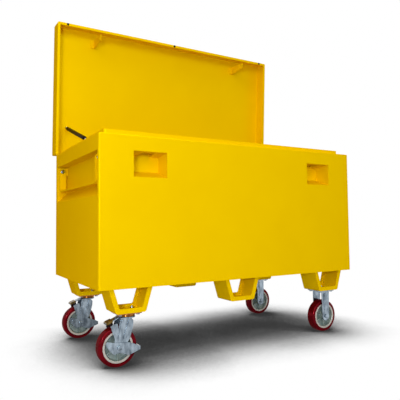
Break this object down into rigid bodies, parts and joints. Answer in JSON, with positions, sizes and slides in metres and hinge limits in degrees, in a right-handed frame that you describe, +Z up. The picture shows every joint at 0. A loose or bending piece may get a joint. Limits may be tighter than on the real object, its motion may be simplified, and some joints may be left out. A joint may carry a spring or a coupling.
{
  "type": "jobsite storage box",
  "caption": "Steel jobsite storage box with an open hinged lid on gas struts, recessed lock pockets and end handles, skid legs and casters.",
  "frame": {"origin": "bottom centre of the bounding box with the lid open: on the floor under the casters, midway across and midway between the front panel and the opened lid's back", "axes": "+X to the right seen from the front, +Y to the back where the hinge is, +Z up"},
  "size_m": [1.524, 0.9022, 1.8222],
  "materials": {
    "yellow_paint": "smooth powder coat, semi-gloss",
    "zinc_plate": "bright zinc plating on pressed steel",
    "bright_steel": "ground and polished",
    "black_enamel": "black paint, semi-gloss",
    "black_rubber": "matt moulded",
    "red_polyurethane": "cast polyurethane, glossy",
    "cast_grey": "cast, grey paint"
  },
  "bodies": {
    "chest": {"front_panel": "yellow_paint", "back_panel": "yellow_paint", "left_end_panel": "yellow_paint", "right_end_panel": "yellow_paint", "floor_panel": "yellow_paint", "front_left_leg": "yellow_paint", "front_middle_leg": "yellow_paint", "front_right_leg": "yellow_paint", "rear_left_leg": "yellow_paint", "rear_middle_leg": "yellow_paint", "rear_right_leg": "yellow_paint", "hinge_body_leaf": "yellow_paint", "hinge_pin": "bright_steel", "left_lock_pocket": "yellow_paint", "left_handle_recess": "yellow_paint", "left_handle_front_bolt": "zinc_plate", "left_handle_rear_bolt": "zinc_plate", "left_strut_foot_plate": "zinc_plate", "right_lock_pocket": "yellow_paint", "right_handle_recess": "yellow_paint", "right_handle_front_bolt": "zinc_plate", "right_handle_rear_bolt": "zinc_plate", "right_strut_foot_plate": "zinc_plate", "front_left_caster_plate": "zinc_plate", "rear_left_caster_plate": "zinc_plate", "front_right_fork": "zinc_plate", "front_right_axle": "zinc_plate", "rear_right_fork": "zinc_plate", "rear_right_axle": "zinc_plate"},
    "lid": {"lid_shell": "yellow_paint", "left_lid_bumper": "black_rubber", "middle_lid_bumper": "black_rubber", "right_lid_bumper": "black_rubber", "left_lock_strike": "yellow_paint", "right_lock_strike": "yellow_paint", "hinge_lid_leaf": "yellow_paint", "left_strut_lid_bracket": "yellow_paint", "right_strut_lid_bracket": "yellow_paint"},
    "left_handle": {"left_drop_handle": "yellow_paint"},
    "left_rod": {"left_strut_rod": "bright_steel"},
    "left_tube": {"left_strut_tube": "black_enamel"},
    "right_handle": {"right_drop_handle": "yellow_paint"},
    "right_rod": {"right_strut_rod": "bright_steel"},
    "right_tube": {"right_strut_tube": "black_enamel"},
    "front_left_swivel": {"front_left_fork": "zinc_plate", "front_left_axle": "zinc_plate"},
    "front_left_brake": {"front_left_brake_pedal": "zinc_plate"},
    "rear_left_swivel": {"rear_left_fork": "zinc_plate", "rear_left_axle": "zinc_plate"},
    "rear_left_brake": {"rear_left_brake_pedal": "zinc_plate"},
    "front_left_wheel": {"front_left_wheel_core": "cast_grey", "front_left_tyre": "red_polyurethane"},
    "rear_left_wheel": {"rear_left_wheel_core": "cast_grey", "rear_left_tyre": "red_polyurethane"},
    "front_right_wheel": {"front_right_wheel_core": "cast_grey", "front_right_tyre": "red_polyurethane"},
    "rear_right_wheel": {"rear_right_wheel_core": "cast_grey", "rear_right_tyre": "red_polyurethane"}
  },
  "joints": [
    {"name": "lid_hinge", "type": "hinge", "parent": "chest", "child": "lid", "pos_m": [0, 0.34242, 1.031], "axis": [1, 0, 0], "range_deg": [0, 87]},
    {"name": "left_strut_swing", "type": "hinge", "parent": "chest", "child": "left_rod", "pos_m": [-0.687, -0.26808, 0.995], "axis": [1, 0, 0], "range_deg": [-4.95, 0]},
    {"name": "left_strut_slide", "type": "slide", "parent": "left_rod", "child": "left_tube", "axis": [0, 0.9507, 0.31], "range_m": [-0.2567, 0]},
    {"name": "left_handle_swing", "type": "hinge", "parent": "chest", "child": "left_handle", "pos_m": [-0.737, -0.04708, 0.933], "axis": [0, 1, 0], "range_deg": [-3, 90]},
    {"name": "right_strut_swing", "type": "hinge", "parent": "chest", "child": "right_rod", "pos_m": [0.687, -0.26808, 0.995], "axis": [1, 0, 0], "range_deg": [-4.95, 0]},
    {"name": "right_strut_slide", "type": "slide", "parent": "right_rod", "child": "right_tube", "axis": [0, 0.9507, 0.31], "range_m": [-0.2567, 0]},
    {"name": "right_handle_swing", "type": "hinge", "parent": "chest", "child": "right_handle", "pos_m": [0.737, -0.04708, 0.933], "axis": [0, -1, 0], "range_deg": [-3, 90]},
    {"name": "front_left_caster_swivel", "type": "hinge", "parent": "chest", "child": "front_left_swivel", "pos_m": [-0.605, -0.36408, 0.23], "axis": [0, 0, 1], "continuous": true},
    {"name": "front_left_wheel_spin", "type": "hinge", "parent": "front_left_swivel", "child": "front_left_wheel", "pos_m": [-0.653, -0.36408, 0.09], "axis": [0, 1, 0], "continuous": true},
    {"name": "front_left_brake_press", "type": "hinge", "parent": "front_left_swivel", "child": "front_left_brake", "pos_m": [-0.653, -0.36408, 0.09], "axis": [0, 1, 0], "range_deg": [0, 14]},
    {"name": "rear_left_caster_swivel", "type": "hinge", "parent": "chest", "child": "rear_left_swivel", "pos_m": [-0.605, 0.24592, 0.23], "axis": [0, 0, 1], "continuous": true},
    {"name": "rear_left_wheel_spin", "type": "hinge", "parent": "rear_left_swivel", "child": "rear_left_wheel", "pos_m": [-0.653, 0.24592, 0.09], "axis": [0, 1, 0], "continuous": true},
    {"name": "rear_left_brake_press", "type": "hinge", "parent": "rear_left_swivel", "child": "rear_left_brake", "pos_m": [-0.653, 0.24592, 0.09], "axis": [0, 1, 0], "range_deg": [0, 14]},
    {"name": "front_right_wheel_spin", "type": "hinge", "parent": "chest", "child": "front_right_wheel", "pos_m": [0.605, -0.36408, 0.09], "axis": [0, 1, 0], "continuous": true},
    {"name": "rear_right_wheel_spin", "type": "hinge", "parent": "chest", "child": "rear_right_wheel", "pos_m": [0.605, 0.24592, 0.09], "axis": [0, 1, 0], "continuous": true}
  ],
  "couplings": [
    {"joint": "left_strut_swing", "follows": "lid_hinge", "ratio": -0.056463},
    {"joint": "left_strut_slide", "follows": "lid_hinge", "m_per_rad": -0.1689},
    {"joint": "right_strut_swing", "follows": "lid_hinge", "ratio": -0.056463},
    {"joint": "right_strut_slide", "follows": "lid_hinge", "m_per_rad": -0.1689}
  ]
}
